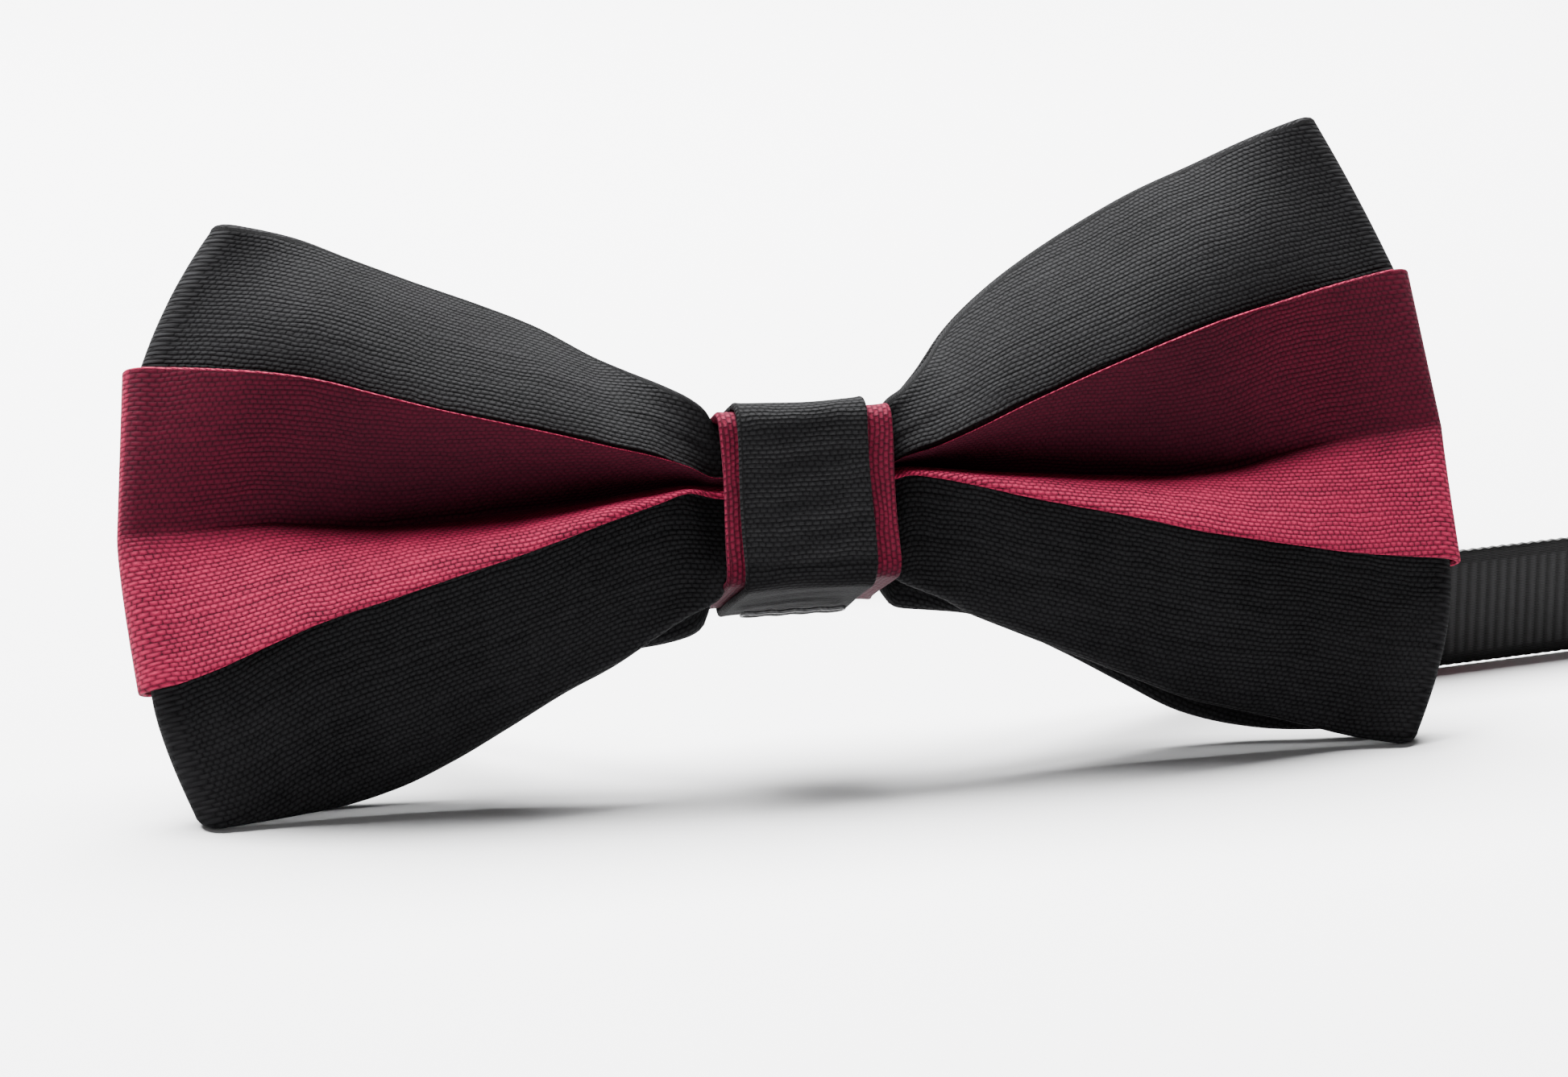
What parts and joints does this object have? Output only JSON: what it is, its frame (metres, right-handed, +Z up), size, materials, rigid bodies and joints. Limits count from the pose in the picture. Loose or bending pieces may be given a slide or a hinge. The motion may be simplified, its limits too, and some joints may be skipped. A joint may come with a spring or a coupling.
{
  "type": "bow tie",
  "caption": "Pre-tied two-tone bow tie: pleated cloth bow with a contrast band round both wings, wrapped knot, and a ribbed neck band with a sliding adjuster and a hook-and-eye clasp.",
  "frame": {"origin": "centre of the bounding box's base, on the surface the bow stands on", "axes": "+X along the bow, +Y from the bow's front to its band's rear run, +Z up"},
  "size_m": [0.1916, 0.0654, 0.0513],
  "materials": {
    "black_cloth": "matte plain weave with slubs",
    "burgundy_cloth": "matte plain weave",
    "interlining": "matte woven lining",
    "grosgrain": "ribbed, slight sheen",
    "thread": "spun polyester",
    "nickel": "nickel plate"
  },
  "bodies": {
    "neckband": {"neck_ribbon": "grosgrain", "ribbon_outer_ply": "grosgrain", "eye_tack_stitches": "thread"},
    "bow": {"bow_shell": "black_cloth", "bow_interlining": "interlining", "accent_band": "burgundy_cloth", "knot_underwrap": "burgundy_cloth", "knot_wrap": "black_cloth", "knot_seam_stitches": "thread"},
    "hook_end": {"ribbon_hook_fold": "grosgrain", "ribbon_inner_ply": "grosgrain"},
    "slider": {"adjuster_slide": "nickel", "ribbon_sewn_end": "grosgrain", "adjuster_tack_stitches": "thread"},
    "hook": {"clasp_hook": "nickel"},
    "eye": {"clasp_eye": "nickel"}
  },
  "joints": [
    {"name": "bow_slide", "type": "slide", "parent": "neckband", "child": "bow", "axis": [1, 0, 0], "range_m": [-0.003, 0.003]},
    {"name": "band_adjust", "type": "slide", "parent": "neckband", "child": "hook_end", "axis": [1, 0, 0], "range_m": [-0.014, 0.006], "deforming": ["ribbon_outer_ply", "ribbon_inner_ply"]},
    {"name": "slider_travel", "type": "slide", "parent": "hook_end", "child": "slider", "axis": [1, 0, 0], "range_m": [-0.014, 0.006]},
    {"name": "hook_pivot", "type": "hinge", "parent": "hook_end", "child": "hook", "pos_m": [0.02363, 0.0293, 0.0075], "axis": [0, 0, 1], "range_deg": [-60, 60]},
    {"name": "eye_pivot", "type": "hinge", "parent": "neckband", "child": "eye", "pos_m": [0.06953, 0.0293, 0.0075], "axis": [0, 0, 1], "range_deg": [-60, 60]}
  ],
  "couplings": [
    {"joint": "slider_travel", "follows": "band_adjust", "ratio": 1}
  ]
}
